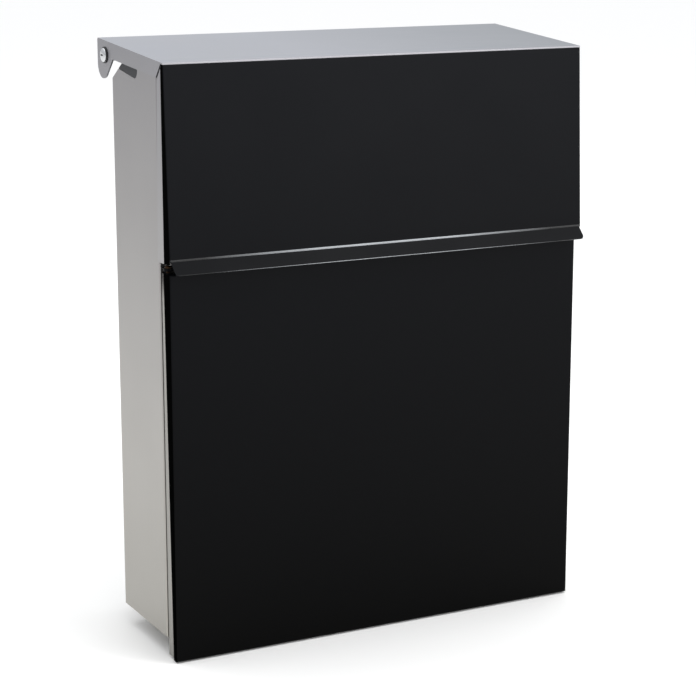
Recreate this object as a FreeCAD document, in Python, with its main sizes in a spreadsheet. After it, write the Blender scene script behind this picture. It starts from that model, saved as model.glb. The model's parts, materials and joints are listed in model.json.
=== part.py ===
"""Wall mounted mailbox in folded sheet metal: a stainless box with a black side-hinged door,
and a stainless lid with a black drop flap that lifts together about two screws at the rear.

Frame, in millimetres: the origin is the centre of the four wall fixing holes, on the wall.
+X is to the right seen from the front, +Z is up, and the front of the box faces -Y.
"""
import FreeCAD, Part
import math
import os
import re

import Sketcher

doc = FreeCAD.newDocument("Mailbox")

# Driving dimensions: alias, millimetres, meaning.
DIMENSIONS = [
    ("width", 300.0, "outside width of the box and the door"),
    ("gauge", 1.0, "stainless sheet of the box and the lid"),
    ("skin", 0.8, "black sheet of the door and the flap, and sheet of the door tray"),
    ("bend", 1.2, "outside radius of the folds"),
    ("projection", 118.5, "wall to the door's front face"),
    ("standoff", 27.5, "wall to the back of the box"),
    ("box_depth", 75.0, "back of the box to the front edge of its sides"),
    ("drop", 200.0, "fixing centre down to the bottom edge of the door"),
    ("door_height", 255.5, "height of the door"),
    ("skirt", 12.5, "how far the door hangs below the box"),
    ("door_return", 5.4, "depth of the black door skin's folds, but for the side folds' tops"),
    ("door_return_top", 10.0, "depth of the black door skin's side folds at the top"),
    ("door_depth", 14.8, "depth of the door with its tray"),
    ("side_rise", 180.6, "fixing centre up to the side's top edge at the front"),
    ("side_crest", 184.0, "fixing centre up to the highest point of the side"),
    ("back_rise", 170.0, "fixing centre up to the corners of the back"),
    ("fold", 10.0, "folds that stiffen the edges of the tray and the apron"),
    ("front_fold", 16.0, "folds that stiffen the front edges of the sides"),
    ("lid_front", 186.5, "fixing centre up to the lid's front edge"),
    ("lid_rear", 195.0, "fixing centre up to the lid's rear edge"),
    ("lid_gap", 0.5, "play between the lid's flanges and the box"),
    ("lid_setback", 1.4, "lid's front edge behind the door's face"),
    ("lid_tail", 6.0, "wall to the lid's rear edge"),
    ("flange_drop", 10.4, "depth of the lid's side flanges"),
    ("flap_foot", 65.0, "fixing centre up to the fold of the grip lip"),
    ("flap_kick", 4.4, "flap's lower fold ahead of the door's face"),
    ("lip_reach", 11.2, "edge of the grip lip ahead of the door's face"),
    ("lip_edge", 57.0, "fixing centre up to the edge of the grip lip"),
    ("flap_return", 5.0, "rear edge of the flap's black side folds, behind the door's face"),
    ("pivot_back", 19.0, "wall to the lid's pivot"),
    ("pivot_rise", 184.5, "fixing centre up to the lid's pivot"),
    ("arm_inset", 14.0, "side of the box to the hinge arms of the upper bracket"),
    ("screw", 2.5, "radius of the lid's pivot screws"),
    ("washer", 0.8, "thickness of the bushes' flanges under the screw heads"),
    ("lobe", 9.6, "radius of the lower end of the lid's ears"),
    ("hinge_side", 3.6, "side of the box to the door's hinge axis"),
    ("hinge_back", 11.2, "door's face to the door's hinge axis"),
    ("hinge_pin", 1.25, "radius of the door's hinge pins"),
    ("fix_across", 220.0, "spacing of the wall fixing holes across"),
    ("fix_up", 300.0, "spacing of the wall fixing holes up"),
    ("fix_hole", 3.25, "radius of the wall fixing holes"),
    ("bracket", 2.0, "galvanised steel of the wall brackets"),
    ("rail_low", 22.0, "wall fixings to the inner edge of a rail's web"),
    ("rail_end", 20.0, "wall fixings to the outer edge of the lower rail's web"),
    ("rail_foot", 28.0, "height of the feet that bolt to the box"),
    ("bolt", 2.5, "radius of the bracket bolts"),
    ("bolt_across", 160.0, "spacing of the bracket bolts"),
    ("lock_rise", 78.0, "fixing centre up to the lock's axis"),
    ("lock_thread", 8.0, "radius of the lock's threaded body"),
    ("lock_plug", 5.5, "radius of the lock's turning plug"),
    ("cam_reach", 32.0, "length of the lock's cam"),
    ("cam_back", 13.2, "lock's seat to the inner face of its cam"),
    ("apron_low", 19.0, "lock's axis down to the apron's lower edge"),
    ("apron_high", 22.0, "lock's axis up to the apron's upper fold"),
    ("drain_across", 90.0, "spacing of the drain holes"),
    ("stud_across", 120.0, "spacing of the door's weld studs"),
    ("stud_inset", 30.0, "door's edges to the weld studs"),
    ("lug", 2.0, "steel of the door's hinge lugs"),
    ("shelf", 1.6, "steel of the door's hinge bracket"),
    ("buffer", 3.0, "thickness of the rubber buffers"),
    ("buffer_nose", 4.8, "radius of the rubber buffers' front end"),
    ("buffer_forward", 39.0, "back of the box to the centre of the buffers' front end"),
    ("buffer_drop", 6.5, "lid's pivot down to the centre of the buffers' front end"),
]

sheet = doc.addObject("Spreadsheet::Sheet", "Dims")
for row, (alias, size, meaning) in enumerate(DIMENSIONS, start=1):
    sheet.set(f"A{row}", alias)
    sheet.set(f"B{row}", str(size))
    sheet.set(f"C{row}", meaning)
    sheet.setAlias(f"B{row}", alias)
doc.recompute()

ALIASES = {alias for alias, _, _ in DIMENSIONS}

# Places that many pieces share, as formulas over the sheet.
SIDE = "width/2"
FRONT = "-projection"
BOX_FRONT = "-(standoff+box_depth)"
BOX_BACK = "-standoff"
BOX_BASE = "skirt-drop"
DOOR_BASE = "-drop"
DOOR_TOP = "door_height-drop"
LID_SIDE = "width/2+lid_gap+gauge"
SLOPE = "(lid_rear-lid_front)/(projection-lid_setback-lid_tail)"
LID_NOSE = "lid_setback-projection"
TILT = "(lid_setback+flap_kick)/(lid_front-flap_foot)"
PIVOT_Y = "-pivot_back"
HINGE_X = "hinge_side-width/2"
HINGE_Y = "hinge_back-projection"
LOBE_Y = "-lid_tail-lobe"
LOBE_Z = "pivot_rise-5.8"
BUFFER_Y = "-standoff-buffer_forward"
BUFFER_Z = "pivot_rise-buffer_drop"
BOLT_RISE = "fix_up/2-rail_low-rail_foot/2"
BOLT_ROWS = (BOLT_RISE, f"-({BOLT_RISE})")
LUG_Z = "skirt-drop+0.5"
STUD_ROWS = ("door_height-drop-stud_inset", "stud_inset-drop")
DOOR_STUDS = [(f"{i}*stud_across", z) for i in (-1, 0, 1) for z in STUD_ROWS]


# ---------------------------------------------------------------- formulas

def bound(formula):
    """A formula over the sheet's aliases, as a FreeCAD expression."""
    return re.sub(r"[a-z_]+", lambda m: f"Dims.{m[0]}" if m[0] in ALIASES else m[0], str(formula))


def size_of(formula):
    """The number that a formula over the sheet gives."""
    return float(sheet.evalExpression(bound(formula)))


def behind(distance):
    """The y of a place that far behind the door's face."""
    return f"({distance})-projection"


def under_lid(y, depth="0"):
    """The z of a place that far below the lid's upper face, at y."""
    return f"lid_rear+(({y})+lid_tail)*({SLOPE})-({depth})"


def flap_y(z, depth="0"):
    """The y of a place that far behind the flap's face, at z."""
    return f"-projection-flap_kick+(({z})-flap_foot)*({TILT})+({depth})"


# ---------------------------------------------------------------- modelling helpers

def new_body(name):
    body = doc.addObject("PartDesign::Body", name)
    body.Label = name
    return body


def new_sketch(body, plane, start):
    """A sketch on an origin plane of the body, at start along the plane's normal.

    It reads (x, y) on XY_Plane, (x, z) on XZ_Plane, whose normal is -Y, and (y, z) on YZ_Plane.
    """
    sketch = body.newObject("Sketcher::SketchObject", f"{body.Name}_sketch")
    origin = next(f for f in body.Origin.OriginFeatures if f.Role == plane)
    sketch.AttachmentSupport = [(origin, "")]
    sketch.MapMode = "FlatFace"
    sketch.setExpression("AttachmentOffset.Base.z", bound(start))
    return sketch


def hold(sketch, geometry, corner, across, up):
    """Hold one point of a sketch at two formulas."""
    for kind, formula in (("DistanceX", across), ("DistanceY", up)):
        rule = Sketcher.Constraint(kind, -1, 1, geometry, corner, size_of(formula))
        index = sketch.addConstraint(rule)
        sketch.setExpression(f"Constraints[{index}]", bound(formula))


def outline(sketch, points):
    """A closed outline of straight edges through points given as formulas."""
    corners = [FreeCAD.Vector(size_of(u), size_of(v), 0) for u, v in points]
    first = sketch.GeometryCount
    count = len(corners)
    for i in range(count):
        sketch.addGeometry(Part.LineSegment(corners[i], corners[(i + 1) % count]), False)
    for i in range(count):
        following = first + (i + 1) % count
        sketch.addConstraint(Sketcher.Constraint("Coincident", first + i, 2, following, 1))
    for i, (u, v) in enumerate(points):
        hold(sketch, first + i, 1, u, v)


def circle(sketch, across, up, radius):
    """A circle at two formulas, with a formula for its radius."""
    centre = FreeCAD.Vector(size_of(across), size_of(up), 0)
    round_edge = Part.Circle(centre, FreeCAD.Vector(0, 0, 1), size_of(radius))
    index = sketch.addGeometry(round_edge, False)
    hold(sketch, index, 3, across, up)
    rule = sketch.addConstraint(Sketcher.Constraint("Radius", index, size_of(radius)))
    sketch.setExpression(f"Constraints[{rule}]", bound(radius))


def box_outline(low_u, low_v, high_u, high_v):
    return [(low_u, low_v), (high_u, low_v), (high_u, high_v), (low_u, high_v)]


def draw(sketch, shapes):
    for shape in shapes:
        if shape[0] == "circle":
            circle(sketch, *shape[1:])
        else:
            outline(sketch, shape)


def pad(body, plane, start, length, *shapes):
    """Pad outlines and circles by length along the plane's normal."""
    sketch = new_sketch(body, plane, start)
    draw(sketch, shapes)
    feature = body.newObject("PartDesign::Pad", f"{body.Name}_pad")
    feature.Profile = sketch
    feature.setExpression("Length", bound(length))
    doc.recompute()
    return feature


def cut(body, plane, start, length, *shapes):
    """Cut outlines and circles, from start, by length along the plane's normal."""
    before = body.Shape.Volume
    sketch = new_sketch(body, plane, start)
    draw(sketch, shapes)
    feature = body.newObject("PartDesign::Pocket", f"{body.Name}_pocket")
    feature.Profile = sketch
    feature.Reversed = True
    feature.setExpression("Length", bound(length))
    doc.recompute()
    if body.Shape.Volume > before - 1e-6:
        raise RuntimeError(f"a pocket of {body.Label} cuts nothing")


def round_edges(body, radius, chosen):
    """Fillet the edges of the body that the test chooses."""
    base = body.Tip
    names = [f"Edge{i}" for i, edge in enumerate(base.Shape.Edges, start=1) if chosen(edge)]
    if not names:
        raise RuntimeError(f"no edge of {body.Label} is chosen")
    feature = body.newObject("PartDesign::Fillet", f"{body.Name}_fillet")
    feature.Base = (base, names)
    feature.setExpression("Radius", bound(radius))
    doc.recompute()


def mirrored(body, *features):
    """The same features on the other side of the middle plane, x = 0."""
    feature = body.newObject("PartDesign::Mirrored", f"{body.Name}_mirror")
    feature.Originals = list(features)
    plane = next(f for f in body.Origin.OriginFeatures if f.Role == "YZ_Plane")
    feature.MirrorPlane = (plane, [""])
    body.Tip = feature
    doc.recompute()


def revolve(name, profile, position, direction=(0, 0, 1)):
    """A turned piece: its (radius, height) outline starts at a place and points along a direction."""
    body = new_body(name)
    sketch = new_sketch(body, "XZ_Plane", "0")
    outline(sketch, profile)
    feature = body.newObject("PartDesign::Revolution", f"{name}_turning")
    feature.Profile = sketch
    axis = next(f for f in body.Origin.OriginFeatures if f.Role == "Z_Axis")
    feature.ReferenceAxis = (axis, [""])
    feature.Angle = 360
    place(body, position, direction)
    doc.recompute()


def place(body, position, direction):
    """Set a piece's origin at three formulas, with its own +Z along a direction."""
    turn = FreeCAD.Rotation(FreeCAD.Vector(0, 0, 1), FreeCAD.Vector(*direction))
    body.Placement = FreeCAD.Placement(FreeCAD.Vector(), turn)
    for axis, formula in zip("xyz", position):
        body.setExpression(f"Placement.Base.{axis}", bound(formula))


def is_upright(edge, x, y, reach=0.1):
    """True for a vertical edge at |x| and y."""
    low, high = edge.BoundBox.ZMin, edge.BoundBox.ZMax
    middle = edge.BoundBox.Center
    flat = edge.BoundBox.XLength < reach and edge.BoundBox.YLength < reach
    return flat and high - low > 5 and abs(abs(middle.x) - x) < reach and abs(middle.y - y) < reach


# ---------------------------------------------------------------- box

def make_box_shell():
    """Sides and back folded from one sheet, with stiffening folds at the front edges."""
    body = new_body("box_shell")
    side = pad(body, "YZ_Plane", f"-({SIDE})", "gauge", [
        (BOX_FRONT, BOX_BASE),
        (BOX_BACK, BOX_BASE),
        (BOX_BACK, "back_rise"),
        (f"{BOX_BACK}-16", "back_rise+10"),
        (f"{BOX_BACK}-22", "side_crest"),
        (BOX_FRONT, "side_rise"),
    ])
    front_fold = pad(body, "XZ_Plane", f"-({BOX_FRONT})-gauge", "gauge", box_outline(
        f"-({SIDE})", BOX_BASE, f"-({SIDE})+front_fold", "side_rise"))
    back_half = pad(body, "XZ_Plane", f"-({BOX_BACK})", "gauge", [
        (f"-({SIDE})", BOX_BASE),
        ("1", BOX_BASE),
        ("1", "back_rise+16"),
        (f"-({SIDE})+20", "back_rise+16"),
        (f"-({SIDE})+20", "back_rise"),
        (f"-({SIDE})", "back_rise"),
    ])
    mirrored(body, side, front_fold, back_half)
    cut(body, "YZ_Plane", f"-({SIDE})-1", "width+2", [
        (f"{BUFFER_Y}-buffer_nose-0.05", BUFFER_Z),
        (f"{BUFFER_Y}-buffer_nose-0.05", "side_crest+2"),
        (f"{BOX_BACK}-11", "side_crest+2"),
        (f"{BOX_BACK}-11", "back_rise+7.3"),
        (BUFFER_Y, f"{BUFFER_Z}-buffer_nose-0.05"),
    ])
    cut(body, "YZ_Plane", f"-({SIDE})-1", "width+2",
        ("circle", BUFFER_Y, BUFFER_Z, "buffer_nose+0.05"))
    holes = [("circle", f"{sx}*bolt_across/2", z, "bolt+0.3") for sx in (-1, 1) for z in BOLT_ROWS]
    holes += [("circle", f"{sx}*fix_across/2", f"{sz}*fix_up/2", "fix_hole+3")
              for sx in (-1, 1) for sz in (-1, 1)]
    cut(body, "XZ_Plane", "standoff-1", "gauge+2", *holes)
    half, back, front = size_of(SIDE), size_of(BOX_BACK), size_of(BOX_FRONT)
    round_edges(body, "gauge*0.9", lambda e: is_upright(e, half, back) or is_upright(e, half, front))


def make_bottom_tray():
    """Floor of the box with folds up all round and drain holes."""
    body = new_body("bottom_tray")
    front = f"{BOX_FRONT}+gauge"
    back = f"{BOX_BACK}-gauge"
    edge = f"{SIDE}-gauge"
    pad(body, "XY_Plane", BOX_BASE, "gauge", box_outline(f"-({edge})", front, edge, back))
    for y in (f"{front}+gauge", back):
        pad(body, "XZ_Plane", f"-({y})", "gauge", box_outline(
            f"-({edge})", BOX_BASE, edge, f"{BOX_BASE}+fold+2"))
    for x in (f"-({edge})", f"{edge}-gauge"):
        pad(body, "YZ_Plane", x, "gauge", box_outline(
            front, BOX_BASE, back, f"{BOX_BASE}+fold+2"))
    drains = [("circle", f"{i}*drain_across", f"({front}+({back}))/2", "3") for i in (-1, 0, 1)]
    cut(body, "XY_Plane", f"{BOX_BASE}-1", "gauge+2", *drains)


def make_lock_apron():
    """Channel across the front above the door, which holds the lock behind the flap."""
    body = new_body("lock_apron")
    front = f"{BOX_FRONT}+gauge"
    edge = f"{SIDE}-gauge"
    low, high = "lock_rise-apron_low", "lock_rise+apron_high"
    pad(body, "XZ_Plane", f"-({front})-gauge", "gauge", box_outline(f"-({edge})", low, edge, high))
    pad(body, "XY_Plane", f"{high}-gauge", "gauge", box_outline(
        f"-({edge})", front, edge, f"{front}+fold+4"))
    for x in (f"-({edge})", f"{edge}-gauge"):
        pad(body, "YZ_Plane", x, "gauge", box_outline(front, low, f"{front}+fold+4", high))
    cut(body, "XZ_Plane", f"-({front})-gauge-1", "gauge+2",
        ("circle", "0", "lock_rise", "lock_thread+0.05"))


# ---------------------------------------------------------------- wall brackets

def bracket_section(body, way, web_low, web_high):
    """Z-shaped rail: a web on the wall, a shelf forward, and a foot on the back of the box.

    Way is "" for the upper rail, whose foot hangs below its shelf, and "-" for the lower one.
    """
    edge = f"{SIDE}-arm_inset"
    fixing_z = f"{way}(fix_up/2)"
    shelf_z = f"{way}(fix_up/2-rail_low)"
    foot_z = f"{way}(fix_up/2-rail_low-rail_foot)"
    holes = [("circle", f"{i}*fix_across/2", fixing_z, "fix_hole") for i in (-1, 1)]
    pad(body, "XZ_Plane", "0", "bracket", box_outline(f"-({edge})", web_low, edge, web_high), *holes)
    start = f"{shelf_z}-bracket" if way else shelf_z
    pad(body, "XY_Plane", start, "bracket", box_outline(f"-({edge})", "-standoff", edge, "0"))
    bolt_z = f"{way}({BOLT_RISE})"
    bolts = [("circle", f"{i}*bolt_across/2", bolt_z, "bolt+0.3") for i in (-1, 1)]
    pad(body, "XZ_Plane", "standoff-bracket", "bracket",
        box_outline(f"-({edge})", foot_z, edge, shelf_z), *bolts)


def make_upper_bracket():
    """Upper wall rail, whose folded ends rise into the two arms that carry the lid's pivot."""
    body = new_body("upper_wall_bracket")
    low, high = "fix_up/2-rail_low", "fix_up/2+rail_low"
    bracket_section(body, "", low, high)
    arm = f"{SIDE}-arm_inset"
    arm_shape = [
        ("0", low),
        ("0", f"{high}-9"),
        (f"{PIVOT_Y}+5.5", "pivot_rise-7.5"),
        (f"{PIVOT_Y}+5", "pivot_rise+5"),
        (f"{PIVOT_Y}-6", "pivot_rise+5"),
        (f"{PIVOT_Y}-8", "pivot_rise-8"),
        ("-standoff", f"{low}+18"),
        ("-standoff", low),
    ]
    for x in (f"-({arm})", f"{arm}-bracket"):
        pad(body, "YZ_Plane", x, "bracket", arm_shape,
            ("circle", PIVOT_Y, "pivot_rise", "screw+0.1"))


def make_lower_bracket():
    """Lower wall rail, the upper one's section turned over."""
    body = new_body("lower_wall_bracket")
    bracket_section(body, "-", "-(fix_up/2)-rail_end", "-(fix_up/2-rail_low)")


# ---------------------------------------------------------------- lid and flap

def make_lid():
    """Lid of one stainless sheet: sloping top, side flanges with ears, and front plate."""
    body = new_body("lid_cover")
    nose, tail = LID_NOSE, "-lid_tail"
    pad(body, "YZ_Plane", f"-({LID_SIDE})", f"2*({LID_SIDE})", [
        (nose, under_lid(nose)),
        (tail, under_lid(tail)),
        (tail, under_lid(tail, "gauge")),
        (nose, under_lid(nose, "gauge")),
    ])
    front_z = under_lid(nose, "gauge/2")
    foot_z = "flap_foot-1"
    pad(body, "YZ_Plane", f"-({SIDE})-0.1", "width+0.2", [
        (flap_y(front_z, "skin"), front_z),
        (flap_y(front_z, "skin+gauge"), front_z),
        (flap_y(foot_z, "skin+gauge"), foot_z),
        (flap_y(foot_z, "skin"), foot_z),
    ])
    ear = [
        (behind("lid_setback+3"), under_lid(behind("lid_setback+3"), "gauge/2")),
        (tail, under_lid(tail, "gauge/2")),
        (tail, LOBE_Z),
        (f"{LOBE_Y}-6.6", f"{LOBE_Z}-6.9"),
        (f"{PIVOT_Y}-14.1", under_lid(f"{PIVOT_Y}-14.1", "flange_drop")),
        (behind("12.6"), under_lid(behind("12.6"), "flange_drop")),
    ]
    inner_fold = [
        (flap_y("flap_foot-2", "skin"), "flap_foot-2"),
        (behind("13.5"), "flap_foot-2"),
        (behind("10"), under_lid(behind("10"), "flange_drop+4")),
        (behind("lid_setback+2"), under_lid(behind("lid_setback+2"), "4")),
        (flap_y("lid_front-4", "skin"), "lid_front-4"),
    ]
    outer_fold = [
        (behind("flap_return+0.1"), "flap_foot-3"),
        (behind("15.2"), "flap_foot-3"),
        (behind("11"), under_lid(behind("11"), "flange_drop+0.9")),
        (behind("flap_return+0.1"), under_lid(behind("flap_return+0.1"), "3.6")),
    ]
    for outer_x, inner_x in (
            (f"-({LID_SIDE})", f"-({LID_SIDE})+skin"),
            (f"{LID_SIDE}-gauge", f"{LID_SIDE}-skin-gauge")):
        pad(body, "YZ_Plane", outer_x, "gauge", ear)
        pad(body, "YZ_Plane", outer_x, "gauge", ("circle", LOBE_Y, LOBE_Z, "lobe"))
        pad(body, "YZ_Plane", inner_x, "gauge", inner_fold)
        pad(body, "YZ_Plane", outer_x, "gauge", outer_fold)
    cut(body, "YZ_Plane", f"-({LID_SIDE})-1", f"2*({LID_SIDE})+2",
        ("circle", PIVOT_Y, "pivot_rise", "screw+1.6"))


def make_flap_panel():
    """Black skin of the flap: face, side folds and the flared grip lip."""
    body = new_body("flap_panel")
    top_z = under_lid(LID_NOSE, "gauge+0.1")
    fold_y = "-projection-flap_kick"
    edge_y = "-projection-lip_reach"
    pad(body, "YZ_Plane", f"-({LID_SIDE})", f"2*({LID_SIDE})", [
        (flap_y(top_z), top_z),
        (fold_y, "flap_foot"),
        (f"{fold_y}+skin", "flap_foot"),
        (flap_y(top_z, "skin"), top_z),
    ])
    pad(body, "YZ_Plane", f"-({SIDE})-0.5", "width+1", [
        (fold_y, "flap_foot"),
        (edge_y, "lip_edge"),
        (f"{edge_y}+0.61", "lip_edge-0.52"),
        (f"{fold_y}+skin", "flap_foot-0.3"),
        (f"{fold_y}+skin", "flap_foot"),
    ])
    side = [
        (flap_y(top_z), top_z),
        (behind("lid_setback+2.4"), under_lid(behind("lid_setback+2.4"), "2.4")),
        (behind("flap_return"), under_lid(behind("flap_return"), "3.6")),
        (behind("flap_return"), "flap_foot-3"),
        (f"{fold_y}+2", "flap_foot-2.4"),
        (fold_y, "flap_foot"),
    ]
    for x in (f"-({LID_SIDE})", f"{LID_SIDE}-skin"):
        pad(body, "YZ_Plane", x, "skin", side)
    half, rise = size_of(f"{SIDE}+0.5"), size_of("lip_edge")
    round_edges(body, "3", lambda e: e.Length < 1.2 and abs(e.BoundBox.Center.z - rise) < 0.6
                and abs(abs(e.BoundBox.Center.x) - half) < 0.1)
    low, high = size_of("flap_foot+1"), size_of(top_z)
    wide = size_of(LID_SIDE)
    round_edges(body, "skin*0.9", lambda e: e.BoundBox.ZLength > high - low - 5
                and abs(abs(e.BoundBox.Center.x) - wide) < 0.1
                and abs(e.BoundBox.YMin - size_of(fold_y)) < 0.5)


# ---------------------------------------------------------------- door

def pan(body, half, low, high, front, back, thickness, crest_back):
    """A shallow pan that faces -Y: its face and four folds, between two y places.

    The side folds' rear edges run from back at the bottom to crest_back at the top.
    """
    pad(body, "XZ_Plane", f"-({front})-({thickness})", thickness, box_outline(
        f"-({half})", low, half, high))
    for z in (low, f"{high}-{thickness}"):
        pad(body, "XY_Plane", z, thickness, box_outline(f"-({half})", front, half, back))
    for x in (f"-({half})", f"{half}-{thickness}"):
        pad(body, "YZ_Plane", x, thickness, [
            (front, low), (back, low), (crest_back, high), (front, high)])


def make_door_panel():
    """Black skin of the door, folded back all round, with side folds that taper downwards."""
    body = new_body("door_panel")
    pan(body, SIDE, DOOR_BASE, DOOR_TOP, FRONT, behind("door_return"), "skin",
        behind("door_return_top"))
    face = size_of(FRONT)
    round_edges(body, "bend", lambda e: abs(e.BoundBox.YMin - face) < 0.01
                and abs(e.BoundBox.YMax - face) < 0.01 and e.Length > 200)


def make_door_tray():
    """Stainless tray inside the door skin, bored for the upper hinge's bush."""
    body = new_body("door_tray")
    half = f"{SIDE}-skin"
    low, high = f"{DOOR_BASE}+skin", f"{DOOR_TOP}-skin"
    back = behind("door_depth")
    pan(body, half, low, high, f"{FRONT}+skin", back, "skin", back)
    cut(body, "XY_Plane", f"{high}-skin-1", "skin+2", ("circle", HINGE_X, HINGE_Y, "hinge_pin+0.75"))
    studs = [("circle", x, z, "2.1") for x, z in DOOR_STUDS]
    cut(body, "XZ_Plane", "projection-2*skin-1", "skin+2", *studs)


def make_door_studs():
    """Weld studs on the back of the door skin."""
    body = new_body("door_studs")
    pad(body, "XZ_Plane", "projection-8", "8-skin", *[("circle", x, z, "2") for x, z in DOOR_STUDS])


def make_door_nuts():
    """Nuts that hold the tray on the door's studs."""
    body = new_body("door_nuts")
    hexes = [hexagon(x, z, 3.5) for x, z in DOOR_STUDS]
    bores = [("circle", x, z, "2") for x, z in DOOR_STUDS]
    pad(body, "XZ_Plane", "projection-2*skin-3.2", "3.2", *hexes, *bores)


def hexagon(across, up, inradius):
    """A hexagon about two formulas, with the radius of its inscribed circle in millimetres."""
    reach = inradius / math.cos(math.radians(30))
    corners = [(reach * math.cos(math.radians(60 * i)), reach * math.sin(math.radians(60 * i)))
               for i in range(6)]
    return [(f"({across})+({u:.4f})", f"({up})+({v:.4f})") for u, v in corners]


def make_hinge_shelf():
    """Bracket inside the door that rests on the lower hinge lug."""
    body = new_body("door_hinge_shelf")
    low = f"{LUG_Z}+lug+0.4"
    inner = f"-({SIDE})+2*skin"
    front = f"{FRONT}+2*skin"
    pad(body, "XY_Plane", low, "shelf", box_outline(inner, front, f"{inner}+14", f"{HINGE_Y}+3"))
    pad(body, "XZ_Plane", f"-({front})-shelf", "shelf", box_outline(
        inner, low, f"{inner}+14", f"{low}+14"))
    cut(body, "XY_Plane", f"{low}-1", "shelf+2", ("circle", HINGE_X, HINGE_Y, "hinge_pin+0.05"))


def make_lug(name, z, bore, *shapes):
    """A hinge lug of the box, bored for its pin."""
    body = new_body(name)
    for shape in shapes:
        pad(body, "XY_Plane", z, "lug", shape)
    cut(body, "XY_Plane", f"{z}-1", "lug+2", ("circle", HINGE_X, HINGE_Y, bore))


def make_upper_lug():
    """Lug above the door's top edge."""
    make_lug("upper_hinge_lug", f"{DOOR_TOP}+0.7", "hinge_pin", ("circle", HINGE_X, HINGE_Y, "3.1"), [
        (f"{HINGE_X}-2", HINGE_Y),
        (f"{HINGE_X}+3.1", HINGE_Y),
        (f"{HINGE_X}+9", BOX_FRONT),
        (f"{HINGE_X}-2", BOX_FRONT),
    ])


def make_lower_lug():
    """Swan-necked lug that reaches round the door's side fold."""
    make_lug("lower_hinge_lug", LUG_Z, "hinge_pin-0.35", ("circle", HINGE_X, HINGE_Y, "1.75"), [
        (HINGE_X, f"{HINGE_Y}-1.75"),
        (f"{HINGE_X}+11", f"{HINGE_Y}-1.75"),
        (f"{HINGE_X}+11", BOX_FRONT),
        (f"{HINGE_X}+5.4", BOX_FRONT),
        (f"{HINGE_X}+5.4", f"{HINGE_Y}+1.7"),
        (HINGE_X, f"{HINGE_Y}+1.7"),
    ])


def make_hinge_pins():
    """Brass pins: the upper drops through its lug, the lower is peened in its lug."""
    revolve("upper_hinge_pin", [
        ("0", "0"), ("hinge_pin-0.3", "0"), ("hinge_pin", "0.5"), ("hinge_pin", "11.9"),
        ("hinge_pin+1", "11.9"), ("hinge_pin+1", "12.6"), ("hinge_pin+0.4", "13.2"), ("0", "13.2"),
    ], (HINGE_X, HINGE_Y, f"{DOOR_TOP}+2.7-11.9"))
    revolve("lower_hinge_pin", [
        ("0", "0"), ("hinge_pin+0.3", "0"), ("hinge_pin+0.3", "0.7"), ("hinge_pin-0.35", "0.7"),
        ("hinge_pin-0.35", "2.7"), ("hinge_pin", "2.7"), ("hinge_pin", "8.7"),
        ("hinge_pin-0.4", "9.4"), ("0", "9.4"),
    ], (HINGE_X, HINGE_Y, f"{LUG_Z}-0.7"))
    revolve("hinge_bush", [
        ("hinge_pin+0.05", "0"), ("hinge_pin+0.75", "0"), ("hinge_pin+0.75", "4.6"),
        ("hinge_pin+1.3", "4.6"), ("hinge_pin+1.3", "5"), ("hinge_pin+0.05", "5"),
    ], (HINGE_X, HINGE_Y, f"{DOOR_TOP}-skin-4.6"))


def make_door_bumpers():
    """Rubber dots that the door's free edge closes on."""
    body = new_body("door_bumpers")
    rows = ("40-drop", "20-drop/2", "door_height-drop-40")
    dots = [("circle", f"{SIDE}-4.5", z, "3") for z in rows]
    pad(body, "XZ_Plane", f"-({BOX_FRONT})", "0.8", *dots)


# ---------------------------------------------------------------- lid pivot

def make_pivots():
    """On each side: screw, sleeve and nut on the box, and a bush in the lid's ear."""
    ear = LID_SIDE
    arm = f"{SIDE}-arm_inset"
    clear = "1.8"
    for side, sign, way in (("left", "-", 1), ("right", "", -1)):
        inward = "+" if way > 0 else "-"

        def at(x):
            return (f"{sign}({ear}){inward}({x})", PIVOT_Y, "pivot_rise")

        revolve(f"pivot_screw_{side}", [
            ("0", "-washer-1.4"), ("1.9", "-washer-1.25"), ("3.4", "-washer-0.9"),
            ("4.4", "-washer-0.4"), ("4.6", "-washer-0.15"), ("screw", "-washer-0.15"),
            ("screw", "22.4"), ("screw-0.5", "23"), ("0", "23"),
        ], at("0"), (way, 0, 0))
        revolve(f"pivot_bush_{side}", [
            ("screw+0.05", "-washer"), ("screw+2.8", "-washer"), ("screw+2.8", "0"),
            ("screw+1.6", "0"), ("screw+1.6", "gauge"), ("screw+3", "gauge"),
            ("screw+3", "gauge+0.6"), ("screw+0.05", "gauge+0.6"),
        ], at("0"), (way, 0, 0))
        revolve(f"pivot_sleeve_{side}", [
            ("screw", "0"), ("screw+1.4", "0"), ("screw+1.4", f"{ear}-({arm})-{clear}"),
            ("screw", f"{ear}-({arm})-{clear}"),
        ], at(clear), (way, 0, 0))
        nut = new_body(f"pivot_nut_{side}")
        start = f"{sign}({arm}-bracket)" + ("" if way > 0 else "-4")
        pad(nut, "YZ_Plane", start, "4", hexagon(PIVOT_Y, "pivot_rise", 4.0),
            ("circle", PIVOT_Y, "pivot_rise", "screw"))


def make_buffers():
    """Rubber buffers in the sides' top edges, which the lid closes on."""
    front = f"{BUFFER_Y}-buffer_nose"
    rear = f"{BOX_BACK}-22"
    outline_points = [
        (front, BUFFER_Z),
        (front, under_lid(front, "gauge+0.4")),
        (rear, under_lid(rear, "gauge+0.4")),
        (rear, "side_crest"),
        (f"{BOX_BACK}-16", "back_rise+10"),
        (f"{BOX_BACK}-12", "back_rise+7.5"),
        (BUFFER_Y, f"{BUFFER_Z}-buffer_nose"),
    ]
    for side, x in (("left", f"-({SIDE})-0.1"), ("right", f"{SIDE}+0.1-buffer")):
        body = new_body(f"lid_buffer_{side}")
        pad(body, "YZ_Plane", x, "buffer", outline_points)
        pad(body, "YZ_Plane", x, "buffer", ("circle", BUFFER_Y, BUFFER_Z, "buffer_nose"))


# ---------------------------------------------------------------- bracket bolts

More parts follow.
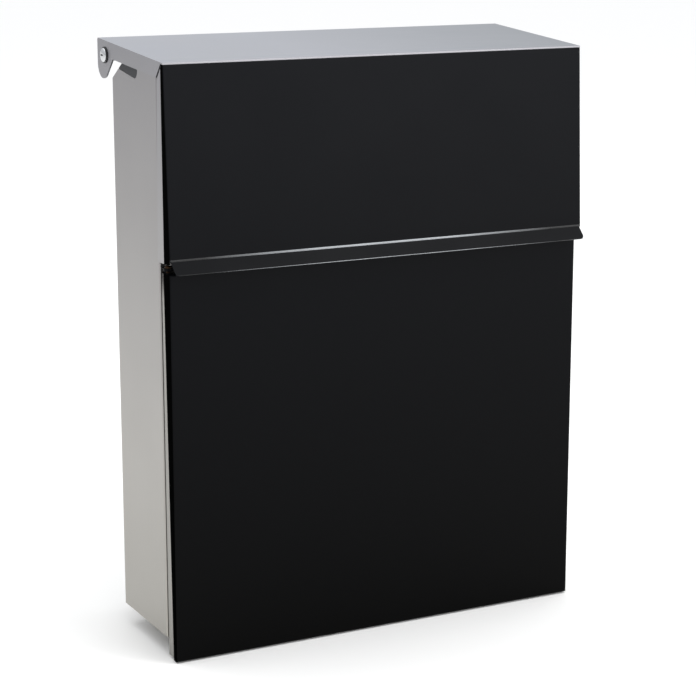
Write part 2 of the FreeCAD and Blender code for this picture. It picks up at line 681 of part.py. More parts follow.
def make_bracket_bolts():
    """Dome-headed bolts from inside the box into the wall brackets, and their nuts."""
    centres = [(f"{sx}*bolt_across/2", z) for sx in (-1, 1) for z in BOLT_ROWS]
    bolts = new_body("bracket_bolts")
    pad(bolts, "XZ_Plane", "standoff-7", "7+gauge", *[("circle", x, z, "bolt") for x, z in centres])
    pad(bolts, "XZ_Plane", "standoff+gauge", "2.6", *[("circle", x, z, "4.7") for x, z in centres])
    crown = -size_of("standoff+gauge+2.6")
    round_edges(bolts, "2", lambda e: abs(e.BoundBox.Center.y - crown) < 0.01)
    nuts = new_body("bracket_nuts")
    shapes = [hexagon(x, z, 4.0) for x, z in centres]
    shapes += [("circle", x, z, "bolt") for x, z in centres]
    pad(nuts, "XZ_Plane", "standoff-bracket-4", "4", *shapes)


# ---------------------------------------------------------------- lock

def make_lock():
    """Cam lock in the apron, and the catch on the door that its cam closes in front of."""
    seat = f"{BOX_FRONT}+gauge"
    at = ("0", seat, "lock_rise")
    back = (0, 1, 0)
    revolve("lock_body", [
        ("lock_plug+0.05", "-2"), ("8.9", "-2"), ("9.5", "-1.4"), ("9.5", "0"), ("lock_thread", "0"),
        ("lock_thread", "10"), ("lock_plug+0.05", "10"),
    ], at, back)
    revolve("lock_plug", [
        ("0", "-2.1"), ("lock_plug-0.4", "-2.1"), ("lock_plug", "-1.7"), ("lock_plug", "cam_back-2"),
        ("3", "cam_back-2"), ("3", "cam_back"), ("0", "cam_back"),
    ], at, back)
    nut = new_body("lock_nut")
    pad(nut, "XZ_Plane", f"-({seat})-gauge-3", "3", hexagon("0", "lock_rise", 10.5),
        ("circle", "0", "lock_rise", "lock_thread"))
    cam = new_body("lock_cam")
    pad(cam, "XZ_Plane", f"-({seat})-cam_back", "2", [
        ("-cam_reach", "lock_rise-4"), ("0", "lock_rise-7"), ("7", "lock_rise-5"),
        ("7", "lock_rise+5"), ("0", "lock_rise+7"), ("-cam_reach", "lock_rise+4"),
    ], ("circle", "0", "lock_rise", "3"))
    revolve("cam_screw", [
        ("0", "cam_back"), ("4.2", "cam_back"), ("4.2", "cam_back+1.2"), ("3", "cam_back+2"),
        ("0", "cam_back+2"),
    ], at, back)
    catch = new_body("door_catch")
    rise = f"{DOOR_TOP}-2*skin"
    reach = f"{seat}+cam_back+2.6"
    pad(catch, "XY_Plane", f"{rise}-1.4", "1.4", box_outline("10", behind("3"), "22", reach))
    pad(catch, "XZ_Plane", f"-({reach})", "1.5", box_outline("-8", f"{rise}-10", "22", rise))


# ---------------------------------------------------------------- build and write

def build():
    make_box_shell()
    make_bottom_tray()
    make_lock_apron()
    make_upper_bracket()
    make_lower_bracket()
    make_bracket_bolts()
    make_lid()
    make_flap_panel()
    make_pivots()
    make_buffers()
    make_door_panel()
    make_door_tray()
    make_door_studs()
    make_door_nuts()
    make_hinge_shelf()
    make_upper_lug()
    make_lower_lug()
    make_hinge_pins()
    make_door_bumpers()
    make_lock()
    doc.recompute()


def write():
    """Check every object, then write each piece to a STEP file of its own."""
    failed = [o.Name for o in doc.Objects if {"Invalid", "Error"} & set(o.State)]
    if failed:
        raise RuntimeError(f"failed features: {failed}")
    pieces = [o for o in doc.Objects if o.TypeId == "PartDesign::Body"]
    for piece in pieces:
        if piece.Shape.isNull() or not piece.Shape.isValid() or not piece.Shape.Solids:
            raise RuntimeError(f"{piece.Label} is not a sound solid")
    os.makedirs("parts", exist_ok=True)
    for piece in pieces:
        piece.Shape.exportStep(f"parts/{piece.Label}.step")
        print(f"{piece.Label}: {len(piece.Shape.Solids)} solid(s), {piece.Shape.Volume:.1f} mm3")


build()
write()
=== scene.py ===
"""Wall mounted mailbox in folded sheet metal: stainless box and lid, black door and flap.

The sheets have softened edges and rounded folds. The pivot screws, the lock's plug and the bracket
bolts have their recesses, keyway and sockets cut. It all stands in a plain studio.
"""

import json
import math

import bpy
from mathutils import Matrix, Vector


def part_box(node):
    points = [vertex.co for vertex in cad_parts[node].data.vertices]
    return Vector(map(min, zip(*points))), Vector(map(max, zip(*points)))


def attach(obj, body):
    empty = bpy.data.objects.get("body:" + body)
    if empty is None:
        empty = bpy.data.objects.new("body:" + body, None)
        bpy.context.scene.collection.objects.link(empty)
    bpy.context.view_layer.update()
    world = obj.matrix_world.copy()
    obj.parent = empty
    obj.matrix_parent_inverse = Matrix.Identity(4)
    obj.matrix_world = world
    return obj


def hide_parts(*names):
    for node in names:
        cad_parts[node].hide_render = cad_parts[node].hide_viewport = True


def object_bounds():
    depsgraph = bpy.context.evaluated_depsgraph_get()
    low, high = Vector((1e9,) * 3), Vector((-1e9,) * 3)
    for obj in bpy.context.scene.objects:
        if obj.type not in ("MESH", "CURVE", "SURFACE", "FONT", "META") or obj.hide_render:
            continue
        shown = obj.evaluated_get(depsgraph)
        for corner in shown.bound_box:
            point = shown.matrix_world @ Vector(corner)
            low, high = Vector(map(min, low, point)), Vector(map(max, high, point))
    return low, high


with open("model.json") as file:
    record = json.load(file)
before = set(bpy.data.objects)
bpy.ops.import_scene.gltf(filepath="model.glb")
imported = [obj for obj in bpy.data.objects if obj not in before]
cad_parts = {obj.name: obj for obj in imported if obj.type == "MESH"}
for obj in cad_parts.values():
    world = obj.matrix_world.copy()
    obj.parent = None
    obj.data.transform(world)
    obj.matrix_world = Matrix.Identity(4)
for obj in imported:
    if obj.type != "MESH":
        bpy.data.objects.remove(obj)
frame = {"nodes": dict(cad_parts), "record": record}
CAD_LOW, CAD_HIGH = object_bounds()

MM = 0.001

# Heights of the lid's front fold and of the flap's grip fold, in millimetres.
LID_FOLD_Z = 186.5
GRIP_FOLD_Z = 65

# Widths of the broken edges of the outer sheets and of the thinner ones, in millimetres.
SHEET_EDGE = 0.22
THIN_SHEET_EDGE = 0.2

# Turned edges of small machined parts, in millimetres.
MACHINED_EDGE = 0.08

# Degrees: joined triangles stay within FLAT of one another, edges over SHARP are broken, and
# edges under SMOOTH are shaded as one surface.
FLAT = 0.5
SHARP = 35
SMOOTH = 50

# Painted shadow on the door tray's upper hinge corner, under the flap's grip lip: it deepens along the
# direction below, which runs up, forward and to the left, between two millimetre values measured along
# it from the origin.
SHADOW_ALONG = (-0.8, -1.2, 1.0)
SHADOW_FROM = 284
SHADOW_FULL = 297

# Painted highlight along the grip lip's folds: full as far as the first value from its middle, and none
# from the second on.
GRIP_FULL_HIGHLIGHT = 45
GRIP_NO_HIGHLIGHT = 128


# ---------------------------------------------------------------- materials

def linear(code):
    """An sRGB hex colour as the linear colour that the shader takes."""
    channels = [int(code[i:i + 2], 16) / 255 for i in (1, 3, 5)]
    return [c / 12.92 if c <= 0.04045 else ((c + 0.055) / 1.055) ** 2.4 for c in channels] + [1.0]


def add_node(tree, kind, settings=(), links=()):
    """Add one node: settings name its properties or sockets, links feed its sockets."""
    node = tree.nodes.new(kind)
    for name, value in dict(settings).items():
        if name in node.inputs:
            node.inputs[name].default_value = value
        else:
            setattr(node, name, value)
    for name, source in dict(links).items():
        tree.links.new(source, node.inputs[name])
    return node


def new_material(name, hex_colour, **shader):
    """A material with its shader's own sockets set, and its object coordinates."""
    material = bpy.data.materials.new(name)
    material.use_nodes = True
    tree = material.node_tree
    tree.nodes.clear()
    surface = add_node(tree, "ShaderNodeBsdfPrincipled", {"Base Color": linear(hex_colour), **shader})
    add_node(tree, "ShaderNodeOutputMaterial", links={"Surface": surface.outputs["BSDF"]})
    place = add_node(tree, "ShaderNodeTexCoord").outputs["Object"]
    return material, tree, surface, place


def stretched_noise(tree, place, spacing_mm, detail=3.0):
    """Noise whose grain is spacing_mm along x, y and z."""
    scale = [1 / (s * MM) for s in spacing_mm]
    mapping = add_node(tree, "ShaderNodeMapping", {"Scale": scale}, {"Vector": place})
    return add_node(tree, "ShaderNodeTexNoise",
                    {"Scale": 1.0, "Detail": detail, "Roughness": 0.55},
                    {"Vector": mapping.outputs["Vector"]}).outputs["Fac"]


def spread(tree, factor, low, high, near=0.3, far=0.7):
    """The factor's middle range mapped to low..high."""
    return add_node(tree, "ShaderNodeMapRange",
                    {"From Min": near, "From Max": far, "To Min": low, "To Max": high},
                    {"Value": factor}).outputs["Result"]


def colour_between(tree, factor, first, second):
    """A colour that goes from the first to the second, each a hex code or a socket."""
    mix = add_node(tree, "ShaderNodeMix", {"data_type": "RGBA"})
    tree.links.new(factor, mix.inputs[0])
    for socket, colour in ((mix.inputs[6], first), (mix.inputs[7], second)):
        if isinstance(colour, str):
            socket.default_value = linear(colour)
        else:
            tree.links.new(colour, socket)
    return mix.outputs[2]


def bump(tree, surface, height, depth_mm, strength):
    """Relief of depth_mm on the surface."""
    relief = add_node(tree, "ShaderNodeBump", {"Strength": strength, "Distance": depth_mm * MM},
                      {"Height": height})
    tree.links.new(relief.outputs["Normal"], surface.inputs["Normal"])


def satin_stainless(name, foot, crest, top_left, top_right, grain_mm):
    """Cold-rolled stainless sheet: satin, with soft rolling streaks and cloudy reflections.

    Upright faces go from the foot colour up to the crest colour, and level ones from left to right:
    painted shading, darker towards the top of the upright faces and towards the right on the level ones.
    """
    material, tree, surface, place = new_material(name, foot, Metallic=1.0)
    facing = add_node(tree, "ShaderNodeTexCoord").outputs["Normal"]
    where = add_node(tree, "ShaderNodeSeparateXYZ", links={"Vector": place}).outputs
    level = add_node(tree, "ShaderNodeSeparateXYZ", links={"Vector": facing}).outputs["Z"]
    # Painted shading: the height and left-right gradients below stand in for how the light falls.
    rise = spread(tree, where["Z"], 0.0, 1.0, CAD_LOW.z, CAD_HIGH.z)
    across = spread(tree, where["X"], 0.0, 1.0, CAD_LOW.x * 0.3, CAD_HIGH.x)
    upright = colour_between(tree, rise, foot, crest)
    top = colour_between(tree, across, top_left, top_right)
    sheet = colour_between(tree, spread(tree, level, 0.0, 1.0, 0.5, 0.8), upright, top)
    streaks = stretched_noise(tree, place, grain_mm, detail=4.0)
    shaded = colour_between(tree, spread(tree, streaks, 0.06, 0.0), sheet, "#000000")
    tree.links.new(shaded, surface.inputs["Base Color"])
    clouds = stretched_noise(tree, place, (90, 90, 90), detail=2.0)
    gloss = add_node(tree, "ShaderNodeMath", {"operation": "ADD"},
                     {0: spread(tree, clouds, 0.30, 0.36), 1: spread(tree, streaks, -0.02, 0.03)})
    tree.links.new(gloss.outputs[0], surface.inputs["Roughness"])
    bump(tree, surface, streaks, 0.012, 0.5)
    return material


def black_powder_coat(name, foot, crest, roughness, gloss):
    """Baked black powder coat: deep black, satin, with a fine orange-peel skin.

    Painted shading makes it go from the darker foot colour up to the lighter crest colour.
    """
    material, tree, surface, place = new_material(name, crest, **{"Specular IOR Level": gloss})
    peel = stretched_noise(tree, place, (1.6, 1.6, 1.6), detail=2.0)
    clouds = stretched_noise(tree, place, (60, 60, 60), detail=2.0)
    where = add_node(tree, "ShaderNodeSeparateXYZ", links={"Vector": place}).outputs
    # Painted light: the coat is lighter towards the top and darker towards the foot.
    rise = spread(tree, where["Z"], 0.0, 1.0, CAD_LOW.z, CAD_HIGH.z)
    tree.links.new(colour_between(tree, rise, foot, crest), surface.inputs["Base Color"])
    tree.links.new(spread(tree, clouds, roughness - 0.03, roughness + 0.03), surface.inputs["Roughness"])
    bump(tree, surface, peel, 0.008, 0.3)
    return material


def painted_grip_highlight(name, highlight_colour, coat_colour):
    """Powder coat over the grip lip's folds, with a painted highlight: a bright line, strongest in the
    middle of the lip.
    """
    material, tree, surface, place = new_material(name, coat_colour, **{"Specular IOR Level": 0.45})
    where = add_node(tree, "ShaderNodeSeparateXYZ", links={"Vector": place}).outputs
    from_middle = add_node(tree, "ShaderNodeMath", {"operation": "ABSOLUTE"}, {0: where["X"]}).outputs[0]
    highlight_along = spread(tree, from_middle, 1.0, 0.0, GRIP_FULL_HIGHLIGHT * MM, GRIP_NO_HIGHLIGHT * MM)
    scuffs_and_highlight_noise = stretched_noise(tree, place, (14, 2, 2), detail=4.0)
    highlight_strength = add_node(tree, "ShaderNodeMath", {"operation": "MULTIPLY"},
                       {0: highlight_along, 1: spread(tree, scuffs_and_highlight_noise, 0.75, 1.0)}).outputs[0]
    # The light grey colour is a painted highlight on the folds, strongest at the lip's middle.
    tree.links.new(colour_between(tree, highlight_strength, coat_colour, highlight_colour), surface.inputs["Base Color"])
    tree.links.new(spread(tree, scuffs_and_highlight_noise, 0.20, 0.30), surface.inputs["Roughness"])
    return material


def galvanised_steel():
    """Hot-dip galvanised sheet: zinc crystals of a few millimetres, each with its own grey."""
    material, tree, surface, place = new_material("galvanised_steel", "#a5a7a9", Metallic=1.0)
    mapping = add_node(tree, "ShaderNodeMapping", {"Scale": [1 / (7 * MM)] * 3}, {"Vector": place})
    crystals = add_node(tree, "ShaderNodeTexVoronoi", {"Scale": 1.0, "Randomness": 1.0},
                        {"Vector": mapping.outputs["Vector"]})
    shade = add_node(tree, "ShaderNodeSeparateColor", links={"Color": crystals.outputs["Color"]})
    grey = shade.outputs["Red"]
    tree.links.new(colour_between(tree, grey, "#9a9da0", "#b0b2b4"), surface.inputs["Base Color"])
    tree.links.new(spread(tree, shade.outputs["Green"], 0.36, 0.52, 0, 1), surface.inputs["Roughness"])
    bump(tree, surface, stretched_noise(tree, place, (1.2, 1.2, 1.2)), 0.02, 0.4)
    return material


def plated_metal(name, dark, light, roughness):
    """Plated or drawn metal, with faint turning marks and handling stains."""
    material, tree, surface, place = new_material(name, light, Metallic=1.0)
    stains = stretched_noise(tree, place, (4, 4, 4))
    tree.links.new(colour_between(tree, spread(tree, stains, 0.0, 1.0), dark, light),
                   surface.inputs["Base Color"])
    tree.links.new(spread(tree, stains, roughness * 0.8, roughness * 1.25), surface.inputs["Roughness"])
    bump(tree, surface, stretched_noise(tree, place, (0.5, 0.5, 0.5)), 0.004, 0.3)
    return material


def moulded(name, dark, light, roughness, grain_mm, depth_mm, **shader):
    """Moulded rubber or plastic with a matt tool texture."""
    material, tree, surface, place = new_material(name, light, **shader)
    cloud = stretched_noise(tree, place, (5, 5, 5))
    tree.links.new(colour_between(tree, spread(tree, cloud, 0.0, 1.0), dark, light),
                   surface.inputs["Base Color"])
    tree.links.new(spread(tree, cloud, roughness - 0.05, roughness + 0.05), surface.inputs["Roughness"])
    bump(tree, surface, stretched_noise(tree, place, (grain_mm,) * 3, detail=1.0), depth_mm, 0.5)
    return material


def tray_stainless():
    """Duller, thinner stainless sheet, with a painted dark brown shadow and reflection under the grip
    lip at its upper hinge corner.
    """
    material, tree, surface, place = new_material("dull_stainless_tray", "#94928d", Metallic=1.0)
    corner = add_node(tree, "ShaderNodeVectorMath", {"operation": "DOT_PRODUCT"}, {0: place})
    corner.inputs[1].default_value = SHADOW_ALONG
    lip_shadow = spread(tree, corner.outputs["Value"], 0.0, 1.0, SHADOW_FROM * MM, SHADOW_FULL * MM)
    streaks = stretched_noise(tree, place, (1.3, 1.3, 160), detail=4.0)
    sheet = colour_between(tree, spread(tree, streaks, 0.0, 1.0), "#96948f", "#8f8d89")
    # Painted shadow: the upper hinge corner darkens to dark brown.
    tree.links.new(colour_between(tree, lip_shadow, sheet, "#1c1510"), surface.inputs["Base Color"])
    tree.links.new(spread(tree, streaks, 0.32, 0.38), surface.inputs["Roughness"])
    bump(tree, surface, streaks, 0.012, 0.5)
    return material


# Door tray sheet, with a painted shadow at its upper hinge corner.
TRAY_SHEET = tray_stainless()
# Painted shade in the cross recess of a screw: its cut faces are dark grey.
RECESS_SHADE = plated_metal("screw_recess_painted_shade", "#1b1b1c", "#2b2b2c", 0.45)
# Painted highlight: light grey along the grip lip's folds, over the black coat.
GRIP_HIGHLIGHT_COAT = painted_grip_highlight("powder_coat_painted_highlight_on_grip", "#b2b5b9", "#161718")
# Painted shade on the narrow side folds: a duller, blacker copy of the front coat.
SIDE_FOLD_PAINTED_SHADE = black_powder_coat("black_powder_coat_side_folds_painted_shade", "#030303", "#060606", 0.5, 0.0)

FINISH = {
    # The four colours of each stainless finish are painted shading, from foot to crest and from left to
    # right.
    "stainless_box": satin_stainless("satin_stainless_box", "#a6a39c", "#8d8b8d", "#a9a8a6", "#a3a2a0",
                                     (1.3, 1.3, 160)),
    "stainless_lid": satin_stainless("satin_stainless_lid", "#aeaba5", "#8d8c90", "#aeb0b7", "#91959b",
                                     (160, 1.3, 1.3)),
    # The black coat's foot and crest colours are painted shading, lighter towards the top.
    "black_powder_coat": black_powder_coat("black_powder_coat", "#020202", "#0f1013", 0.34, 0.05),
    "galvanised_steel": galvanised_steel(),
    "zinc_fasteners": plated_metal("bright_zinc_plate", "#b3b2ab", "#c9c8c2", 0.28),
    "chromed_screws": plated_metal("polished_chrome", "#c4c5c7", "#d6d7d9", 0.10),
    # Brass, far darker than bare brass.
    "brass": plated_metal("dark_brass", "#33261c", "#4a3728", 0.40),
    "nylon": moulded("black_nylon", "#141414", "#1c1c1d", 0.42, 0.8, 0.01),
    "black_rubber": moulded("black_rubber", "#232427", "#303135", 0.62, 0.6, 0.02,
                            **{"Specular IOR Level": 0.35}),
}


# ---------------------------------------------------------------- modelling helpers

def select_only(piece):
    bpy.ops.object.select_all(action="DESELECT")
    piece.select_set(True)
    bpy.context.view_layer.objects.active = piece


def apply_modifier(piece, kind, **settings):
    select_only(piece)
    modifier = piece.modifiers.new(kind.lower(), kind)
    for name, value in settings.items():
        setattr(modifier, name, value)
    bpy.ops.object.modifier_apply(modifier=modifier.name)


def paint(piece, slot):
    piece.data.materials.clear()
    piece.data.materials.append(FINISH[slot])


def body_of(node):
    bodies = frame["record"]["behaviour"]["bodies"]
    return next(name for name, nodes in bodies.items() if node in nodes)


def slot_of(node):
    return next(s["material_slot"] for s in frame["record"]["subparts"] if s["node"] == node)


def place_of(node):
    """The node's lowest and highest corners, in millimetres."""
    low_corner, high_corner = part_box(node)
    return Vector(low_corner) / MM, Vector(high_corner) / MM


def copy_of(node):
    """The node's own shape as a new piece, with its triangles joined into flat faces."""
    source = frame["nodes"][node]
    piece = source.copy()
    piece.data = source.data.copy()
    piece.name = f"{node}_finished"
    bpy.context.scene.collection.objects.link(piece)
    piece.parent = None
    piece.matrix_world = Matrix.Identity(4)
    select_only(piece)
    bpy.ops.object.mode_set(mode="EDIT")
    bpy.ops.mesh.select_all(action="SELECT")
    bpy.ops.mesh.remove_doubles(threshold=0.002 * MM)
    bpy.ops.mesh.dissolve_limited(angle_limit=math.radians(FLAT))
    bpy.ops.object.mode_set(mode="OBJECT")
    paint(piece, slot_of(node))
    return piece


def split_hollow_faces(piece):
    """Split flat faces that aren't convex, such as the one round the lid's rear edge and ears."""
    select_only(piece)
    bpy.ops.object.mode_set(mode="EDIT")
    bpy.ops.mesh.select_all(action="SELECT")
    bpy.ops.mesh.vert_connect_concave()
    bpy.ops.object.mode_set(mode="OBJECT")


def bend_edges(piece, radius_mm, chosen, finish=None):
    """Round the edges whose two ends the test chooses, and give them a finish of their own."""
    select_only(piece)
    bpy.ops.object.mode_set(mode="EDIT")
    bpy.ops.mesh.select_mode(type="EDGE")
    bpy.ops.mesh.select_all(action="DESELECT")
    bpy.ops.object.mode_set(mode="OBJECT")
    corners = piece.data.vertices
    for edge in piece.data.edges:
        edge.select = all(chosen(*(corners[i].co / MM)) for i in edge.vertices)
    bpy.ops.object.mode_set(mode="EDIT")
    bpy.ops.mesh.bevel(offset=radius_mm * MM, segments=3, affect="EDGES")
    if finish:
        piece.data.materials.append(finish)
        piece.active_material_index = len(piece.data.materials) - 1
        bpy.ops.object.material_slot_assign()
    bpy.ops.object.mode_set(mode="OBJECT")


def shade_side_folds(piece):
    """Give the folds that face left and right the painted shade of their duller, blacker coat."""
    piece.data.materials.append(SIDE_FOLD_PAINTED_SHADE)
    for face in piece.data.polygons:
        if abs(face.normal.x) > 0.8:
            face.material_index = len(piece.data.materials) - 1


def finish_piece(piece, node, edge_mm):
    """Break the sharp edges, shade smooth without bending the flats, and stand in for the node."""
    apply_modifier(piece, "BEVEL", width=edge_mm * MM, segments=2, limit_method="ANGLE",
                   angle_limit=math.radians(SHARP), use_clamp_overlap=True)
    select_only(piece)
    bpy.ops.object.shade_smooth_by_angle(angle=math.radians(SMOOTH))
    apply_modifier(piece, "WEIGHTED_NORMAL", mode="FACE_AREA", weight=100, keep_sharp=True)
    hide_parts(node)
    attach(piece, body_of(node))


def settle(piece, base_mm, direction):
    """Turn a piece's own +Z along a direction, move it to its place, and bake both in."""
    turn = Vector(direction).to_track_quat("Z", "Y").to_matrix().to_4x4()
    piece.matrix_world = Matrix.Translation(Vector(base_mm) * MM) @ turn @ piece.matrix_world
    select_only(piece)
    bpy.ops.object.transform_apply(location=True, rotation=True, scale=True)


def turned(name, profile, base_mm, direction):
    """A turned solid: a disc at the first (radius, height), drawn out through the others."""
    bpy.ops.object.select_all(action="DESELECT")
    radius, height = profile[0]
    bpy.ops.mesh.primitive_circle_add(vertices=64, radius=radius * MM, fill_type="NGON",
                                      location=(0, 0, height * MM))
    piece = bpy.context.object
    piece.name = name
    bpy.ops.object.mode_set(mode="EDIT")
    bpy.ops.mesh.select_mode(type="FACE")
    bpy.ops.mesh.select_all(action="SELECT")
    for next_radius, next_height in profile[1:]:
        rise = (next_height - height) * MM
        bpy.ops.mesh.extrude_region_move(TRANSFORM_OT_translate={"value": (0, 0, rise)})
        factor = next_radius / radius
        bpy.ops.transform.resize(value=(factor, factor, 1), center_override=(0, 0, next_height * MM))
        radius, height = next_radius, next_height
    bpy.ops.mesh.select_all(action="SELECT")
    bpy.ops.mesh.normals_make_consistent(inside=False)
    bpy.ops.object.mode_set(mode="OBJECT")
    settle(piece, base_mm, direction)
    return piece


def cut_away(piece, cutter):
    """Take the cutter's shape out of the piece, and leave the cutter's finish, if any, on the cut."""
    apply_modifier(piece, "BOOLEAN", operation="DIFFERENCE", object=cutter, solver="EXACT",
                   material_mode="TRANSFER" if cutter.data.materials else "INDEX")
    bpy.data.objects.remove(cutter)


def block(size_mm, place_mm, taper=1.0):
    """A block cutter about +Z, whose far end is drawn in by taper."""
    bpy.ops.object.select_all(action="DESELECT")
    bpy.ops.mesh.primitive_cube_add(size=MM, location=Vector(place_mm) * MM, scale=size_mm)
    cutter = bpy.context.object
    bpy.ops.object.transform_apply(location=True, rotation=True, scale=True)
    bpy.ops.object.mode_set(mode="EDIT")
    bpy.ops.mesh.select_mode(type="FACE")
    bpy.ops.mesh.select_all(action="DESELECT")
    bpy.ops.object.mode_set(mode="OBJECT")
    for face in cutter.data.polygons:
        face.select = face.normal.z > 0.9
    bpy.ops.object.mode_set(mode="EDIT")
    bpy.ops.transform.resize(value=(taper, taper, 1))
    bpy.ops.object.mode_set(mode="OBJECT")
    return cutter


# ---------------------------------------------------------------- sheets

def make_flat_sheets():
    """Box, its tray and channel, and the two wall brackets."""
    for node in ("box_shell", "bottom_tray", "lock_apron", "upper_wall_bracket",
                 "lower_wall_bracket"):
        finish_piece(copy_of(node), node, SHEET_EDGE)


def make_door():
    """Stainless tray and the black skin round it."""
    tray = copy_of("door_tray")
    tray.data.materials[0] = TRAY_SHEET
    finish_piece(tray, "door_tray", THIN_SHEET_EDGE)
    skin = copy_of("door_panel")
    shade_side_folds(skin)
    finish_piece(skin, "door_panel", SHEET_EDGE)


def make_lid():
    """Lid sheet, its top rounded into the side flanges and the front plate."""
    low, high = place_of("lid_cover")
    piece = copy_of("lid_cover")
    split_hollow_faces(piece)
    slope = (high.z - LID_FOLD_Z) / (high.y - low.y)

    def on_top_fold(x, y, z):
        sheet_top = LID_FOLD_Z + (y - low.y) * slope
        return z > sheet_top - 0.3 and abs(x) > high.x - 0.05

    bend_edges(piece, 0.9, on_top_fold)
    finish_piece(piece, "lid_cover", THIN_SHEET_EDGE)


def make_flap():
    """Black flap, with the grip lip's fold and edge rounded and a painted highlight along them."""
    low, _ = place_of("flap_panel")
    piece = copy_of("flap_panel")

    def on_lip_fold(x, y, z):
        return abs(z - GRIP_FOLD_Z) < 0.2 and y < low.y + 7.2

    def on_lip_edge(x, y, z):
        return z < low.z + 0.6 and y < low.y + 0.8

    bend_edges(piece, 0.7, on_lip_fold, GRIP_HIGHLIGHT_COAT)
    bend_edges(piece, 0.28, on_lip_edge, GRIP_HIGHLIGHT_COAT)
    shade_side_folds(piece)
    finish_piece(piece, "flap_panel", THIN_SHEET_EDGE)


# ---------------------------------------------------------------- screws, nuts, lock

def make_pivot_screws():
    """Chromed dome-headed screws with a cross recess, through the lid's ears."""
    head_radius, head_rise = 4.6, 1.4
    rim, dome_rise = 0.25, 1.15
    shank_radius = 2.5
    recess_turn = 28
    blade_size, blade_place, blade_taper = (4.8, 1.1, 1.5), (0, 0, -0.95), 0.45
    dome = []
    for degrees in range(4, 91, 7):
        angle = math.radians(degrees)
        dome.append((head_radius * math.sin(angle), -rim - dome_rise * math.cos(angle)))
    shank = [(head_radius, -0.15), (shank_radius, -0.15), (shank_radius, 23.2), (2.0, 23.8)]
    for side, way in (("left", 1), ("right", -1)):
        node = f"pivot_screw_{side}"
        low, high = place_of(node)
        head = low.x if way > 0 else high.x
        middle = (low + high) / 2
        base = (head + way * head_rise, middle.y, middle.z)
        screw = turned(f"{node}_finished", dome + shank, base, (way, 0, 0))
        paint(screw, "chromed_screws")
        for turn in (0, 90):
            blade = block(blade_size, blade_place, blade_taper)
            # The recess's cut faces take the painted shade.
            blade.data.materials.append(RECESS_SHADE)
            blade.rotation_euler.z = math.radians(turn + recess_turn)
            settle(blade, base, (way, 0, 0))
            cut_away(screw, blade)
        finish_piece(screw, node, MACHINED_EDGE)


def make_lock_plug():
    """Plug of the cam lock, with its keyway."""
    low, high = place_of("lock_plug")
    middle = (low + high) / 2
    base = (middle.x, low.y, middle.z)
    face = [(4.9, 0), (5.3, 0.12), (5.5, 0.4)]
    barrel = [(5.5, 13.3), (3, 13.3), (3, 15.3)]
    plug = turned("lock_plug_finished", face + barrel, base, (0, 1, 0))
    keyway = block((1.3, 6.2, 5), (0, 0, 1))
    settle(keyway, base, (0, 1, 0))
    cut_away(plug, keyway)
    paint(plug, "chromed_screws")
    finish_piece(plug, "lock_plug", MACHINED_EDGE)


def make_small_parts():
    """Nuts, lugs, cam, catch, buffers and bumpers, each with its own width of broken edge."""
    edges_mm = {
        "lock_body": 0.15, "lock_nut": 0.4, "lock_cam": 0.25, "cam_screw": 0.2,
        "door_catch": 0.2, "door_hinge_shelf": 0.2,
        "upper_hinge_lug": 0.25, "lower_hinge_lug": 0.25,
        "lid_buffer_left": 0.35, "lid_buffer_right": 0.35,
        "pivot_bush_left": 0.15, "pivot_bush_right": 0.15,
        "door_bumpers": 0.25, "door_nuts": 0.3, "bracket_nuts": 0.35,
        "pivot_nut_left": 0.35, "pivot_nut_right": 0.35,
    }
    for node, edge_mm in edges_mm.items():
        finish_piece(copy_of(node), node, edge_mm)


def make_bracket_bolts():
    """Dome-headed bolts inside the box, with hexagon sockets."""
    head_radius = 4.7
    socket_radius, socket_length = 1.75, 4
    low, high = place_of("bracket_bolts")
    bolts = copy_of("bracket_bolts")
    for x in (low.x + head_radius, high.x - head_radius):
        for z in (low.z + head_radius, high.z - head_radius):
            bpy.ops.object.select_all(action="DESELECT")
            bpy.ops.mesh.primitive_cylinder_add(vertices=6, radius=socket_radius * MM,
                                                depth=socket_length * MM)
            socket = bpy.context.object
            settle(socket, (x, low.y - 0.1, z), (0, 1, 0))
            cut_away(bolts, socket)
    finish_piece(bolts, "bracket_bolts", 0.12)


for node, own_shape in frame["nodes"].items():
    own_shape.data.materials.clear()
    own_shape.data.materials.append(FINISH[slot_of(node)])

make_flat_sheets()
make_door()
make_lid()
make_flap()
make_pivot_screws()
make_lock_plug()
make_small_parts()
make_bracket_bolts()


# ---------------------------------------------------------------- studio

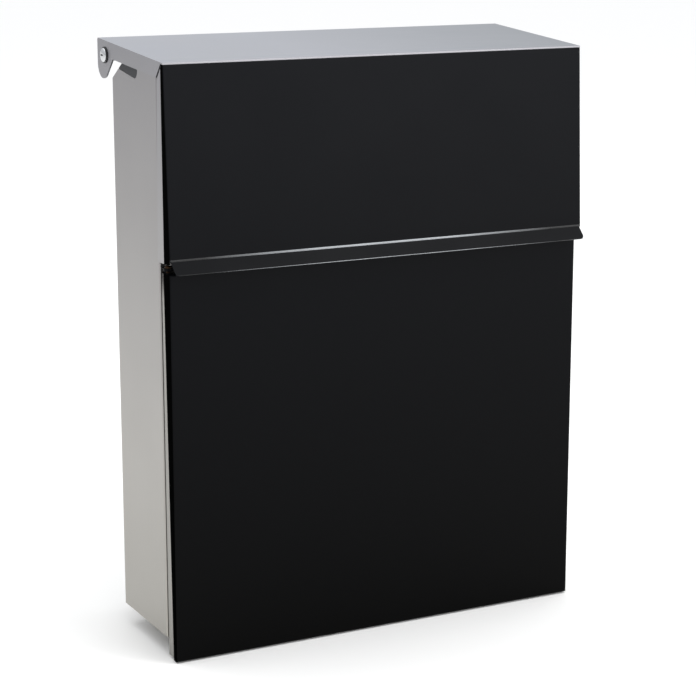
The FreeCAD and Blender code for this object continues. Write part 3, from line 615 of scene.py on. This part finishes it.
def studio_floor():
    """Plain pale floor under the door's lower edge."""
    bpy.ops.object.select_all(action="DESELECT")
    bpy.ops.mesh.primitive_circle_add(vertices=96, radius=24, fill_type="NGON",
                                      location=(0, 0, CAD_LOW.z - 0.001))
    floor = bpy.context.object
    floor.name = "studio_floor"
    material, _, _, _ = new_material("matt_white_paper", "#fcfbf9", Roughness=0.95)
    floor.data.materials.append(material)


def studio_sky(horizon, zenith):
    """Slightly cool room light, whose strength goes from the horizon's to the zenith's."""
    world = bpy.data.worlds.new("studio")
    bpy.context.scene.world = world
    world.use_nodes = True
    tree = world.node_tree
    background = tree.nodes["Background"]
    background.inputs["Color"].default_value = (0.96, 0.975, 1.0, 1)
    direction = add_node(tree, "ShaderNodeTexCoord").outputs["Generated"]
    height = add_node(tree, "ShaderNodeSeparateXYZ", links={"Vector": direction}).outputs["Z"]
    tree.links.new(spread(tree, height, horizon, zenith, 0.0, 1.0), background.inputs["Strength"])


def soft_light(name, place, aim, size, power):
    """A rectangular softbox that isn't itself in the picture."""
    light = bpy.data.lights.new(name, "AREA")
    light.shape = "RECTANGLE"
    light.size, light.size_y = size
    light.energy = power
    lamp = bpy.data.objects.new(name, light)
    lamp.location = place
    lamp.rotation_euler = (Vector(aim) - Vector(place)).to_track_quat("-Z", "Y").to_euler()
    lamp.visible_camera = False
    bpy.context.scene.collection.objects.link(lamp)


studio_floor()
studio_sky(0.72, 1.22)
soft_light("top_softbox", (-0.3, 0.5, 2.2), (0, 0.1, -0.2), (2.0, 2.0), 14)
soft_light("front_softbox", (1.25, -2.3, 0.75), (0, 0, 0), (1.6, 1.8), 24)
soft_light("high_softbox", (0.85, -0.8, 1.6), (0, -0.1, 0.06), (0.8, 0.8), 9)
bpy.context.scene.view_settings.view_transform = "Standard"


# ---------------------------------------------------------------- camera

def set_camera():
    """Long lens from the front left, a little above the mailbox."""
    yaw, pitch = 0.4775, -0.2225
    camera = bpy.data.cameras.new("camera")
    camera.lens = 105.7
    camera.sensor_width = 36
    holder = bpy.data.objects.new("camera", camera)
    holder.location = (-0.6248, -1.2772, 0.2916)
    forward = Vector((math.sin(yaw) * math.cos(pitch), math.cos(yaw) * math.cos(pitch),
                      math.sin(pitch)))
    holder.rotation_euler = forward.to_track_quat("-Z", "Y").to_euler()
    bpy.context.scene.collection.objects.link(holder)
    bpy.context.scene.camera = holder


set_camera()
